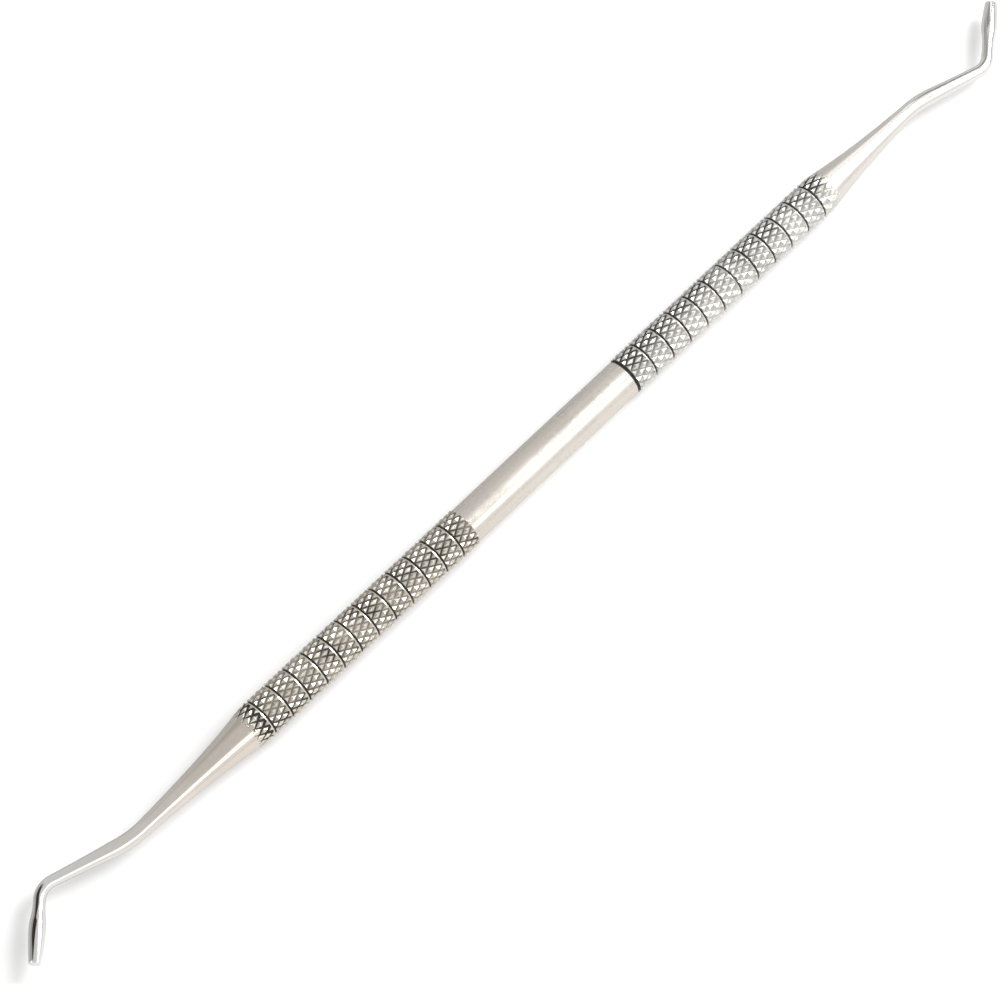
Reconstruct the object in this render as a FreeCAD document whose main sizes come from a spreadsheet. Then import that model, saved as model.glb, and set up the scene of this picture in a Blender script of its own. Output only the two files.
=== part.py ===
# Amalgam plugger: a double-ended dental packing instrument turned, knurled and bent from one bar.
# Frame in millimetres: X along the handle, Z up, origin on the table under the middle of the length.
# The handle lies on the table and both ends bend in one level plane, each way round from the other.

import FreeCAD
import Part
import Sketcher
import math
import os

NODE = "amalgam_plugger"
SIDES = ("left", "right")

# Driving sizes: name, value, what it measures. Lengths in millimetres, angles in degrees.
# Places along the handle are distances from its middle; places on a tip are from its elbow.
DRIVING_SIZES = (
    ("knurl_diameter", 5.50, "grip across the diamond peaks"),
    ("knurl_depth", 0.30, "peak of a diamond above the knurl's valleys"),
    ("diamonds_around", 16, "diamonds in one ring of the knurl"),
    ("band_rows", 3, "half diamonds along one band"),
    ("groove_width", 0.46, "turned groove between two bands"),
    ("groove_diameter", 4.72, "bottom of the turned grooves"),
    ("barrel_diameter", 5.14, "smooth barrel between the grips"),
    ("runout_depth", 0.34, "depth below the peaks at which the cove starts"),
    ("runout_step", 0.02, "step from the turned-down band to the cove"),
    ("cove_angle", 8.8, "slope of the cove where it meets the grip"),
    ("neck_angle", 2.5, "slope of the neck where it meets the bend"),
    ("bend_radius", 15.0, "centre line of the gentle bend"),
    ("elbow_radius", 2.7, "centre line of the sharp bend"),
    ("shank_hollow", 0.06, "middle pole of a shank's curve inside a straight taper"),
    ("face_break", 0.08, "bevel round a working face"),
    ("left_barrel_end", 12.38, "barrel's end on the left"),
    ("left_lead_groove", 0.0, "groove between barrel and first band"),
    ("left_bands", 12, "full bands of the left grip"),
    ("left_band_pitch", 2.95, "one band with its groove"),
    ("left_end_band", 2.70, "last band, where the knurl runs out"),
    ("left_bend_place", 69.5, "corner of the gentle bend"),
    ("left_bend_angle", 16.7, "turn of the gentle bend"),
    ("left_bend_diameter", 2.06, "shank through the gentle bend"),
    ("left_shank_length", 11.97, "corner of the bend to corner of the elbow"),
    ("left_elbow_diameter", 1.54, "shank through the elbow"),
    ("left_elbow_angle", 59.3, "turn of the elbow"),
    ("left_tip_length", 9.63, "corner of the elbow to the working face"),
    ("left_waist_place", 2.8, "pole of the tip\'s curve at its waist"),
    ("left_waist_diameter", 1.42, "the same pole, twice its radius"),
    ("left_shoulder_place", 5.3, "pole of the tip\'s curve at its widest"),
    ("left_shoulder_diameter", 2.40, "the same pole, twice its radius"),
    ("left_face_diameter", 1.50, "end of the tip before its bevel"),
    ("right_barrel_end", 16.01, "barrel's end on the right"),
    ("right_lead_groove", 0.46, "groove between barrel and first band"),
    ("right_bands", 11, "full bands of the right grip"),
    ("right_band_pitch", 3.105, "one band with its groove"),
    ("right_end_band", 3.20, "last band, where the knurl runs out"),
    ("right_bend_place", 70.3, "corner of the gentle bend"),
    ("right_bend_angle", 15.7, "turn of the gentle bend"),
    ("right_bend_diameter", 2.12, "shank through the gentle bend"),
    ("right_shank_length", 10.83, "corner of the bend to corner of the elbow"),
    ("right_elbow_diameter", 1.62, "shank through the elbow"),
    ("right_elbow_angle", 54.5, "turn of the elbow"),
    ("right_tip_length", 9.45, "corner of the elbow to the working face"),
    ("right_waist_place", 3.8, "pole of the tip\'s curve at its waist"),
    ("right_waist_diameter", 1.42, "the same pole, twice its radius"),
    ("right_shoulder_place", 6.2, "pole of the tip\'s curve at its widest"),
    ("right_shoulder_diameter", 2.38, "the same pole, twice its radius"),
    ("right_face_diameter", 1.58, "end of the tip before its bevel"),
)

X_AXIS = FreeCAD.Vector(1, 0, 0)
Z_AXIS = FreeCAD.Vector(0, 0, 1)
ORIGIN = FreeCAD.Vector(0, 0, 0)

document = FreeCAD.newDocument("plugger")
sheet = document.addObject("Spreadsheet::Sheet", "sizes")


def fill_sheet():
    """Write every driving size into the sheet: value in column A, meaning in column B."""
    for row, (name, value, meaning) in enumerate(DRIVING_SIZES, start=1):
        sheet.set(f"A{row}", str(value))
        sheet.setAlias(f"A{row}", name)
        sheet.set(f"B{row}", meaning)
    document.recompute()


def size(name):
    """One driving size as a number."""
    return float(getattr(sheet, name))


def origin_plane(body, role):
    """The body's own origin plane with this role."""
    return next(item for item in body.Origin.OriginFeatures if item.Role == role)


def new_sketch(body, name):
    """A sketch on the body's XZ plane: its x is the body's X and its y is the body's Z."""
    sketch = body.newObject("Sketcher::SketchObject", name)
    sketch.AttachmentSupport = [(origin_plane(body, "XZ_Plane"), "")]
    sketch.MapMode = "FlatFace"
    return sketch


def bind(sketch, constraint, name, formula):
    """Add a named constraint and tie its value to a formula of the sheet's sizes."""
    index = sketch.addConstraint(constraint)
    sketch.renameConstraint(index, name)
    sketch.setExpression(f"Constraints.{name}", formula)


def revolve(body, sketch):
    """Turn the sketch about the body's X axis into the body's solid."""
    turned = body.newObject("PartDesign::Revolution", sketch.Name + "_turned")
    turned.Profile = sketch
    turned.ReferenceAxis = (sketch, ["H_Axis"])
    turned.Angle = 360
    document.recompute()
    return turned


def bend_setback(side):
    """Distance from the gentle bend's corner to where its arc starts and ends."""
    return size("bend_radius") * math.tan(math.radians(size(side + "_bend_angle") / 2))


def elbow_setback(side):
    """Distance from the elbow's corner to where its arc starts and ends."""
    return size("elbow_radius") * math.tan(math.radians(size(side + "_elbow_angle") / 2))


def last_band_start(side):
    """Where the run-out band starts, after the full bands and their grooves."""
    grooves = size(side + "_lead_groove")
    return size(side + "_barrel_end") + grooves + size(side + "_bands") * size(side + "_band_pitch")


def grip_end(side):
    """Where the knurl has run out and the bare cove begins."""
    return last_band_start(side) + size(side + "_end_band")


def turned_profile(body, name, poles, bevel=0.0):
    """A solid turned about the body's X axis from a curve on three poles, closed by flat ends.

    Every pole is ((place, formula), (radius, formula)), and a bevel cuts the rim at the far end."""
    sketch = new_sketch(body, name)
    points = [FreeCAD.Vector(place[0], radius[0], 0) for place, radius in poles]
    curve = sketch.addGeometry(Part.BSplineCurve(points, None, None, False, 2, None, False))
    for number, (point, (place, radius)) in enumerate(zip(points, poles)):
        mark = sketch.addGeometry(Part.Circle(point, Z_AXIS, 1), True)
        control = "InternalAlignment:Sketcher::BSplineControlPoint"
        sketch.addConstraint(Sketcher.Constraint(control, mark, 3, curve, number))
        sketch.addConstraint(Sketcher.Constraint("Weight", mark, 1))
        along = Sketcher.Constraint("DistanceX", -1, 1, mark, 3, place[0])
        across = Sketcher.Constraint("DistanceY", -1, 1, mark, 3, radius[0])
        bind(sketch, along, f"place_{number}", place[1])
        bind(sketch, across, f"radius_{number}", radius[1])
    start, stop, rim = points[0], points[-1], points[-1]
    corners = [stop]
    if bevel > 0:
        rim = FreeCAD.Vector(stop.x + bevel, stop.y - bevel, 0)
        corners.append(rim)
    corners += [FreeCAD.Vector(rim.x, 0, 0), FreeCAD.Vector(start.x, 0, 0), start]
    edges = [sketch.addGeometry(Part.LineSegment(a, b)) for a, b in zip(corners, corners[1:])]
    for first, second in zip([curve] + edges, edges + [curve]):
        sketch.addConstraint(Sketcher.Constraint("Coincident", first, 2, second, 1))
    far_face, axis, near_face = edges[-3:]
    sketch.addConstraint(Sketcher.Constraint("Vertical", far_face))
    sketch.addConstraint(Sketcher.Constraint("Vertical", near_face))
    sketch.addConstraint(Sketcher.Constraint("PointOnObject", axis, 1, -1))
    sketch.addConstraint(Sketcher.Constraint("PointOnObject", axis, 2, -1))
    if bevel > 0:
        bind(sketch, Sketcher.Constraint("DistanceX", edges[0], 1, edges[0], 2, bevel),
             "bevel_along", "sizes.face_break")
        bind(sketch, Sketcher.Constraint("DistanceY", edges[0], 2, edges[0], 1, bevel),
             "bevel_down", "sizes.face_break")
    revolve(body, sketch)
    return body


def make_cove(side):
    """The turned cove that leaves the grip and narrows to the neck at the gentle bend.

    Its middle pole is where the grip's slope meets the neck's slope."""
    start = grip_end(side)
    stop = size(side + "_bend_place") - bend_setback(side)
    top = size("knurl_diameter") / 2 - size("runout_depth")
    bottom = size(side + "_bend_diameter") / 2
    steep = math.tan(math.radians(size("cove_angle")))
    shallow = math.tan(math.radians(size("neck_angle")))
    reach = (top - bottom - shallow * (stop - start)) / (steep - shallow)

    start_formula = (f"(sizes.{side}_barrel_end + sizes.{side}_lead_groove"
                     f" + sizes.{side}_bands * sizes.{side}_band_pitch + sizes.{side}_end_band)")
    stop_formula = f"(sizes.{side}_bend_place - sizes.bend_radius * tan(sizes.{side}_bend_angle / 2))"
    top_formula = "(sizes.knurl_diameter / 2 - sizes.runout_depth)"
    bottom_formula = f"sizes.{side}_bend_diameter / 2"
    reach_formula = (f"(({top_formula} - {bottom_formula}"
                     f" - tan(sizes.neck_angle) * ({stop_formula} - {start_formula}))"
                     " / (tan(sizes.cove_angle) - tan(sizes.neck_angle)))")
    poles = [((start, start_formula), (top, top_formula)),
             ((start + reach, f"{start_formula} + {reach_formula}"),
              (top - steep * reach, f"{top_formula} - tan(sizes.cove_angle) * {reach_formula}")),
             ((stop, stop_formula), (bottom, bottom_formula))]
    body = document.addObject("PartDesign::Body", side + "_cove")
    return turned_profile(body, side + "_cove_profile", poles)


def plain_ring(radius):
    """Radii of a ring with no knurl, the same all round."""
    return [radius] * (2 * int(size("diamonds_around")))


def groove_ring():
    """Radii of a turned groove's bottom."""
    return plain_ring(size("groove_diameter") / 2)


def knurl_ring(phase):
    """Radii round one row of the knurl: peaks and valleys in turn."""
    peak = size("knurl_diameter") / 2
    valley = peak - size("knurl_depth")
    columns = 2 * int(size("diamonds_around"))
    return [peak if (column + phase) % 2 == 0 else valley for column in range(columns)]


def faceted_bar(rings):
    """A solid bar through rings of corners, each given as its place on the axis and its radii.

    Every cell between four neighbouring corners folds along its lower diagonal, so four cells round
    a peak make one diamond pyramid whose edges are the knurl's valleys. A level cell stays flat."""
    columns = len(rings[0][1])
    turn = 2 * math.pi / columns

    def corner(ring, column):
        place, radii = rings[ring]
        column = column % columns
        angle = (column + 0.5) * turn
        return FreeCAD.Vector(place, radii[column] * math.sin(angle), -radii[column] * math.cos(angle))

    def height(ring, column):
        return rings[ring][1][column % columns]

    def face(*points):
        return Part.Face(Part.makePolygon(list(points) + [points[0]]))

    faces = []
    for ring in range(len(rings) - 1):
        for column in range(columns):
            a, b = corner(ring, column), corner(ring, column + 1)
            c, d = corner(ring + 1, column + 1), corner(ring + 1, column)
            rising = height(ring, column) + height(ring + 1, column + 1)
            falling = height(ring, column + 1) + height(ring + 1, column)
            if height(ring, column) == height(ring, column + 1) and falling == rising:
                faces.append(face(a, b, c, d))
            elif falling < rising:
                faces += [face(a, b, d), face(b, c, d)]
            else:
                faces += [face(a, b, c), face(a, c, d)]
    for ring in (0, len(rings) - 1):
        faces.append(face(*[corner(ring, column) for column in range(columns)]))
    solid = Part.Solid(Part.Shell(faces))
    if solid.Volume < 0:
        solid.reverse()
    return solid


def band_rings(start, end, phase):
    """The rows of one knurled band between two places on the axis."""
    rows = int(size("band_rows"))
    return [(start + (end - start) * row / rows, knurl_ring(phase + row)) for row in range(rows + 1)]


def make_grip(side):
    """The full bands of one grip with a turned V groove after each, in one faceted bar.

    Every band is a half diamond out of step with the last, as a knurl that runs on under the grooves."""
    grip = document.addObject("Part::Feature", side + "_grip")
    pitch = size(side + "_band_pitch")
    half_groove = size("groove_width") / 2
    lead = size(side + "_lead_groove")
    start = size(side + "_barrel_end")
    rings = [(start, groove_ring()), (start + lead / 2, groove_ring())] if lead > 0 else []
    for number in range(int(size(side + "_bands"))):
        near = start + lead + number * pitch
        far = near + pitch - 2 * half_groove
        rings += band_rings(near, far, number)
        rings.append((far + half_groove, groove_ring()))
    grip.Shape = faceted_bar(rings)
    return grip


def make_runout(side):
    """The last band, turned down by the taper that leads into the cove."""
    band = document.addObject("Part::Feature", side + "_end_band")
    start = last_band_start(side)
    stop = grip_end(side)
    foot = start - size("groove_width") / 2
    rings = band_rings(start, stop, int(size(side + "_bands")))
    band.Shape = faceted_bar([(foot, groove_ring())] + rings)
    taper = document.addObject("Part::Feature", side + "_runout_taper")
    flat = size("knurl_diameter") / 2 - size("runout_depth") + size("runout_step")
    small = flat / math.cos(column_angle)
    large = small + (stop - foot) * math.tan(math.radians(size("cove_angle")))
    taper.Shape = faceted_bar([(foot, plain_ring(large)), (stop, plain_ring(small))])
    runout = document.addObject("Part::Common", side + "_runout")
    runout.Base = band
    runout.Tool = taper
    return runout


def make_shank(side):
    """The gentle bend, the tapering shank and the elbow, one after another."""
    bend_angle = size(side + "_bend_angle")
    elbow_angle = size(side + "_elbow_angle")
    along = FreeCAD.Rotation(Z_AXIS, -bend_angle).multVec(X_AXIS)
    inward = FreeCAD.Rotation(Z_AXIS, 90).multVec(along)
    bend_corner = X_AXIS * size(side + "_bend_place")
    elbow_corner = bend_corner + along * size(side + "_shank_length")
    bend_centre = bend_corner - X_AXIS * bend_setback(side)
    bend_centre = bend_centre - FreeCAD.Vector(0, size("bend_radius"), 0)
    elbow_centre = elbow_corner - along * elbow_setback(side) + inward * size("elbow_radius")

    bend = document.addObject("Part::Torus", side + "_bend")
    bend.setExpression("Radius1", "sizes.bend_radius")
    bend.setExpression("Radius2", f"sizes.{side}_bend_diameter / 2")
    bend.setExpression("Angle3", f"sizes.{side}_bend_angle")
    bend.Placement = FreeCAD.Placement(bend_centre, FreeCAD.Rotation(Z_AXIS, 90 - bend_angle))

    length = size(side + "_shank_length") - bend_setback(side) - elbow_setback(side)
    length_formula = (f"(sizes.{side}_shank_length - sizes.bend_radius * tan(sizes.{side}_bend_angle / 2)"
                      f" - sizes.elbow_radius * tan(sizes.{side}_elbow_angle / 2))")
    thick, thin = size(side + "_bend_diameter") / 2, size(side + "_elbow_diameter") / 2
    thick_formula, thin_formula = f"sizes.{side}_bend_diameter / 2", f"sizes.{side}_elbow_diameter / 2"
    shank = document.addObject("PartDesign::Body", side + "_shank")
    turned_profile(shank, side + "_shank_profile", [
        ((0, "0"), (thick, thick_formula)),
        ((length / 2, f"{length_formula} / 2"),
         ((thick + thin) / 2 - size("shank_hollow"),
          f"(sizes.{side}_bend_diameter + sizes.{side}_elbow_diameter) / 4 - sizes.shank_hollow")),
        ((length, length_formula), (thin, thin_formula))])
    shank.Placement = FreeCAD.Placement(bend_corner + along * bend_setback(side),
                                        FreeCAD.Rotation(Z_AXIS, -bend_angle))

    elbow = document.addObject("Part::Torus", side + "_elbow")
    elbow.setExpression("Radius1", "sizes.elbow_radius")
    elbow.setExpression("Radius2", f"sizes.{side}_elbow_diameter / 2")
    elbow.setExpression("Angle3", f"sizes.{side}_elbow_angle")
    elbow.Placement = FreeCAD.Placement(elbow_centre, FreeCAD.Rotation(Z_AXIS, -90 - bend_angle))
    return [bend, shank, elbow]


def make_tip(side):
    """The spindle-shaped packing tip: a throat with a waist, then a nib that swells and tapers.

    The throat ends half-way between the poles of the waist and the shoulder, and the nib starts there."""
    setback = elbow_setback(side)
    setback_formula = f"sizes.elbow_radius * tan(sizes.{side}_elbow_angle / 2)"
    names = ("elbow", "waist", "shoulder", "face")
    root, waist, shoulder, face = (
        (size(f"{side}_{name}_diameter") / 2, f"sizes.{side}_{name}_diameter / 2") for name in names)
    waist_place = (size(side + "_waist_place") - setback, f"sizes.{side}_waist_place - {setback_formula}")
    shoulder_place = (size(side + "_shoulder_place") - setback,
                      f"sizes.{side}_shoulder_place - {setback_formula}")
    rim_place = (size(side + "_tip_length") - setback - size("face_break"),
                 f"sizes.{side}_tip_length - {setback_formula} - sizes.face_break")
    middle = ((waist_place[0] + shoulder_place[0]) / 2, f"({waist_place[1]} + {shoulder_place[1]}) / 2")
    middle_radius = ((waist[0] + shoulder[0]) / 2, f"({waist[1]} + {shoulder[1]}) / 2")
    throat = document.addObject("PartDesign::Body", side + "_throat")
    turned_profile(throat, side + "_throat_profile",
                   [((0, "0"), root), (waist_place, waist), (middle, middle_radius)])
    nib = document.addObject("PartDesign::Body", side + "_nib")
    turned_profile(nib, side + "_nib_profile",
                   [(middle, middle_radius), (shoulder_place, shoulder), (rim_place, face)],
                   size("face_break"))
    heading = size(side + "_elbow_angle") - size(side + "_bend_angle")
    along_shank = FreeCAD.Rotation(Z_AXIS, -size(side + "_bend_angle")).multVec(X_AXIS)
    turn = FreeCAD.Rotation(Z_AXIS, heading)
    elbow_corner = X_AXIS * size(side + "_bend_place") + along_shank * size(side + "_shank_length")
    for body in (throat, nib):
        body.Placement = FreeCAD.Placement(elbow_corner + turn.multVec(X_AXIS) * setback, turn)
    return [throat, nib]


def make_barrel():
    """The smooth barrel between the two grips."""
    barrel = document.addObject("Part::Cylinder", "barrel")
    barrel.setExpression("Radius", "sizes.barrel_diameter / 2")
    barrel.setExpression("Height", "sizes.left_barrel_end + sizes.right_barrel_end")
    barrel.Placement = FreeCAD.Placement(X_AXIS * -size("left_barrel_end"), FreeCAD.Rotation(Z_AXIS, X_AXIS))
    return barrel


def make_side(side):
    """Every sub-part of one end. The left end is the same chain turned half round."""
    pieces = [make_grip(side), make_runout(side), make_cove(side), *make_shank(side), *make_tip(side)]
    if side == "left":
        half_turn = FreeCAD.Placement(ORIGIN, FreeCAD.Rotation(Z_AXIS, 180))
        for piece in pieces:
            piece.Placement = half_turn * piece.Placement
    return pieces


def check(objects):
    """Stop if any object failed or any shape is missing or unsound."""
    for item in objects:
        if "Invalid" in item.State or "Error" in item.State:
            raise RuntimeError(f"{item.Label} failed: {item.State}")
        shape = getattr(item, "Shape", None)
        if shape is not None and item.TypeId.startswith("Part") and (shape.isNull() or not shape.isValid()):
            raise RuntimeError(f"{item.Label} has no sound shape")


fill_sheet()
column_angle = math.pi / (2 * size("diamonds_around"))
sub_parts = [make_barrel()]
for end in SIDES:
    sub_parts += make_side(end)

# The handle rests on the two peak lines that straddle its lowest line.
axis_height = size("knurl_diameter") / 2 * math.cos(column_angle)

plugger = document.addObject("Part::MultiFuse", NODE)
plugger.Shapes = sub_parts
plugger.Label = NODE
plugger.Placement = FreeCAD.Placement(Z_AXIS * axis_height, FreeCAD.Rotation())
document.recompute()
check(document.Objects)
if len(plugger.Shape.Solids) != 1:
    raise RuntimeError(f"the plugger came out as {len(plugger.Shape.Solids)} solids")

os.makedirs("parts", exist_ok=True)
plugger.Shape.exportStep(f"parts/{NODE}.step")
bounds = plugger.Shape.BoundBox
print(f"{NODE}: {bounds.XLength:.2f} x {bounds.YLength:.2f} x {bounds.ZLength:.2f} mm,"
      f" {len(plugger.Shape.Faces)} faces, {plugger.Shape.Volume:.1f} mm3")
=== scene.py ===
"""Amalgam plugger: looks of a one-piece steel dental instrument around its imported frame.

The steel is one skin swept along the instrument's centre line, from the left working face to the
right one. Each sub-assembly adds its rings to the skin, and the finishes are shader node trees.
Sizes are in millimetres in the classes and in metres in the meshes.
"""

import logging
import math
from dataclasses import dataclass, field
from enum import Enum

import bpy
import numpy as np
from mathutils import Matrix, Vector


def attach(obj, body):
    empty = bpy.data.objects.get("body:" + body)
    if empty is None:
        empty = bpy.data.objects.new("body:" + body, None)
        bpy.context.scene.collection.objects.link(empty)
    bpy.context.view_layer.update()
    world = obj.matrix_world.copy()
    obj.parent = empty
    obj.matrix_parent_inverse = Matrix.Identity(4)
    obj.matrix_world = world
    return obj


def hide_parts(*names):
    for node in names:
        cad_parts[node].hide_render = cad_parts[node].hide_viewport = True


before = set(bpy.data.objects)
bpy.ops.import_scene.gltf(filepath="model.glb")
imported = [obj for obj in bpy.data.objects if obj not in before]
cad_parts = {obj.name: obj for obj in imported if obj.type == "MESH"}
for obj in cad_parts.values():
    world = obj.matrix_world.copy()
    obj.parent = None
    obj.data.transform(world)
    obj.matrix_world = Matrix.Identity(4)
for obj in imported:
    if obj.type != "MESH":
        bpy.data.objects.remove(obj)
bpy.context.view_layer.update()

MM = 0.001
NODE = "amalgam_plugger"
PHOTO_WIDTH = 1000
PHOTO_HEIGHT = 984

log = logging.getLogger("plugger")


class Side(Enum):
    """The two ends of the instrument; the left chain is the right one turned half round."""

    LEFT = "left"
    RIGHT = "right"


class Zone(Enum):
    """The finishes of the steel, in the order of the skin's material slots."""

    BARREL = 0
    GRIP_LEFT = 1
    GRIP_RIGHT = 2
    SHANK_LEFT = 3
    SHANK_RIGHT = 4


COLUMNS = 32
FINE = 4
AROUND = COLUMNS * FINE
THETA = (np.arange(AROUND) / FINE + 0.5) * (2 * math.pi / COLUMNS)

COVE_RINGS = 32
BEND_RINGS = 14
SHANK_RINGS = 14
ELBOW_RINGS = 18
THROAT_RINGS = 14
NIB_RINGS = 26
FACE_SHARES = (0.4, 0.75, 1.0)


@dataclass
class Ring:
    """One ring of the skin: its centre, heading and radii, and what the finish needs to know."""

    x: float
    y: float
    heading: float
    along: float
    radii: np.ndarray
    zone: Zone
    relief: np.ndarray
    # Darkening per column: grime in the knurl's valleys, painted shade in the grooves.
    grime_and_shade: np.ndarray
    polish: float = 0.0


def even(value: float) -> np.ndarray:
    """The same value for every column of a ring."""
    return np.full(AROUND, value)


def plain_ring(x: float, y: float, heading: float, along: float, radius: float, zone: Zone) -> Ring:
    """A round ring with no knurl, free of grime and painted shade."""
    return Ring(x, y, heading, along, even(radius), zone, even(1.0), even(0.0))


def bezier(poles: list[tuple[float, float]], share: float) -> tuple[float, float]:
    """A point on a curve of three poles.

    Args:
        poles: place and radius of each pole.
        share: how far along the curve, from 0 to 1.

    Returns:
        Place and radius there.
    """
    a, b, c = (1 - share) ** 2, 2 * share * (1 - share), share ** 2
    return tuple(a * p + b * q + c * r for p, q, r in zip(*poles))


@dataclass(frozen=True)
class Knurl:
    """The rolled diamond pattern of the grips and the grooves turned through it."""

    diameter: float = 5.50
    depth: float = 0.30
    rows: int = 3
    groove_width: float = 0.46
    groove_diameter: float = 4.72
    crown: tuple[float, ...] = (0.0, 0.20, 0.50, 0.82, 1.0)
    lip: tuple[tuple[float, float], ...] = ((0.04, 2.565), (0.42, 2.50))
    foot_reach: tuple[float, float] = (0.50, 0.84)
    lead_profile: tuple[tuple[float, float], ...] = ((0.0, 1.0), (0.5, 1.0), (0.66, 0.8), (0.84, 0.4))
    # Darkness of the grooves' foot and far wall: painted shade, lighter towards the front.
    groove_shade: float = 2.2
    groove_front_fade: float = 0.5
    # Darkness of the lead groove at the barrel's end: painted shade.
    lead_shade: float = 1.5
    end_front_fade: float = 1.5
    least_span: float = 0.02

    @property
    def peak(self) -> float:
        """Radius at a diamond's peak."""
        return self.diameter / 2

    @property
    def valley(self) -> float:
        """Radius at the bottom of the knurl."""
        return self.peak - self.depth

    @property
    def foot(self) -> float:
        """Radius at the bottom of a groove."""
        return self.groove_diameter / 2

    def relief(self, row: float) -> np.ndarray:
        """Height round one line of the pattern, from 0 in a valley to 1 on a peak.

        Args:
            row: place along the axis counted in half diamonds.

        Returns:
            One height per column.
        """
        across = np.arange(AROUND) / FINE
        column, line = np.floor(across), math.floor(row + 1e-9)
        s, t = across - column, row - line
        upright = (column + line) % 2 == 0
        height = np.where(upright, np.abs(1 - s - t), np.abs(s - t))
        return np.interp(height, np.linspace(0, 1, len(self.crown)), self.crown)


@dataclass
class Chain:
    """One end of the instrument, modelled away from the middle towards +X."""

    side: Side
    barrel_end: float
    lead_groove: float
    bands: int
    pitch: float
    end_band: float
    bend_place: float
    bend_angle: float
    bend_diameter: float
    shank_length: float
    elbow_diameter: float
    elbow_angle: float
    tip_length: float
    waist: tuple[float, float]
    shoulder: tuple[float, float]
    face_diameter: float
    grip_zone: Zone
    shank_zone: Zone
    band_grime: tuple[float, ...]
    last_grime: float
    # How much less dark the grip is on its front (-Y) side.
    front_fade: float
    runout_depth: float = 0.34
    cove_angle: float = 8.8
    neck_angle: float = 2.5
    bend_radius: float = 15.0
    elbow_radius: float = 2.7
    shank_hollow: float = 0.06
    face_break: float = 0.08
    front: tuple[float, float] = (0.5, 0.9)
    polish_bias: float = 1.4
    knurl: Knurl = field(default_factory=Knurl)

    @property
    def band_start(self) -> float:
        """Where the run-out band starts."""
        return self.barrel_end + self.lead_groove + self.bands * self.pitch

    @property
    def grip_end(self) -> float:
        """Where the cove starts."""
        return self.band_start + self.end_band

    @property
    def bend_setback(self) -> float:
        """Distance from the gentle bend's corner to its arc."""
        return self.bend_radius * math.tan(math.radians(self.bend_angle / 2))

    @property
    def elbow_setback(self) -> float:
        """Distance from the elbow's corner to its arc."""
        return self.elbow_radius * math.tan(math.radians(self.elbow_angle / 2))

    def lay_grime_and_shade(self, amount: float, front_fade: float = 1.0) -> np.ndarray:
        """Grime in the valleys and painted shade in the grooves round one ring, less at the front.

        Args:
            amount: darkening at the back.
            front_fade: how much of the front fade reaches this ring.

        Returns:
            One amount per column.
        """
        middle, slope = self.front
        front = np.clip(middle - slope * np.sin(THETA), 0.0, 1.0)
        return amount * (1 - self.front_fade * front_fade * front)

    def knurled(self, x: float, row: float, grime_and_shade: float, front_fade: float) -> Ring:
        """One line of the knurl at a place on the axis.

        Args:
            x: place along the axis.
            row: place in the pattern, in half diamonds.
            grime_and_shade: how dark its valleys are.
            front_fade: how much of the front fade reaches it.

        Returns:
            The ring.
        """
        relief = self.knurl.relief(row)
        radii = self.knurl.valley + self.knurl.depth * relief
        return Ring(x, 0.0, 0.0, x, radii, self.grip_zone, relief, self.lay_grime_and_shade(grime_and_shade, front_fade))

    def groove_rings(self, start: float, before: Ring, after: Ring) -> list[Ring]:
        """One turned groove: a bright eased lip on its low-X side, then the painted-shade foot and
        wall.

        Args:
            start: where the groove begins.
            before: the ring at its near edge.
            after: the ring at its far edge.

        Returns:
            Its rings, without the two edges.
        """
        width, turned = self.knurl.groove_width, self.side is Side.LEFT
        clean = even(0.0)
        # The groove's foot and far wall are darkened with painted shade.
        dark = self.lay_grime_and_shade(self.knurl.groove_shade, self.knurl.groove_front_fade)
        profile = [(share, radius, 1.0, clean) for share, radius in self.knurl.lip]
        profile += [(share, self.knurl.foot, 0.0, dark) for share in self.knurl.foot_reach]
        if turned:
            profile = [(1 - share, *rest) for share, *rest in reversed(profile)]
        rings = []
        for share, radius, relief, grime_and_shade in profile:
            x = start + share * width
            rings.append(Ring(x, 0.0, 0.0, x, even(radius), self.grip_zone, even(relief), grime_and_shade))
        beyond, wall = (before, rings[0]) if turned else (after, rings[-1])
        wall.radii = (self.knurl.foot + np.minimum(beyond.radii, self.knurl.valley)) / 2
        return rings

    def grip(self) -> list[Ring]:
        """The knurled bands with their grooves, and the band where the knurl runs out.

        Returns:
            Rings from the barrel's end to the cove.
        """
        steps = self.knurl.rows * FINE
        bands: list[list[Ring]] = []
        for number in range(self.bands + 1):
            near = self.barrel_end + self.lead_groove + number * self.pitch
            last = number == self.bands
            length = self.end_band if last else self.pitch - self.knurl.groove_width
            count = 2 * steps if last else steps
            grime_and_shade = self.band_grime[min(number, len(self.band_grime) - 1)]
            grime_and_shade = self.last_grime if last else grime_and_shade
            front_fade = self.knurl.end_front_fade if last else 1.0
            bands.append([self.knurled(near + length * step / count,
                                       number + self.knurl.rows * step / count, grime_and_shade, front_fade)
                          for step in range(count + 1)])
        self.run_out(bands[-1])
        rings = []
        if self.lead_groove > 0:
            # The lead groove's rings are darkened with painted shade.
            edge, dark = bands[0][0], even(self.knurl.lead_shade)
            for offset, drop in self.knurl.lead_profile:
                radii = edge.radii * (1 - drop) + self.knurl.foot * drop
                x = self.barrel_end + offset * self.lead_groove
                rings.append(Ring(x, 0.0, 0.0, x, radii, self.grip_zone, even(0.0), dark))
        for number, band in enumerate(bands):
            rings += band
            if number < self.bands:
                rings += self.groove_rings(band[-1].x, band[-1], bands[number + 1][0])
        return rings

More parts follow.
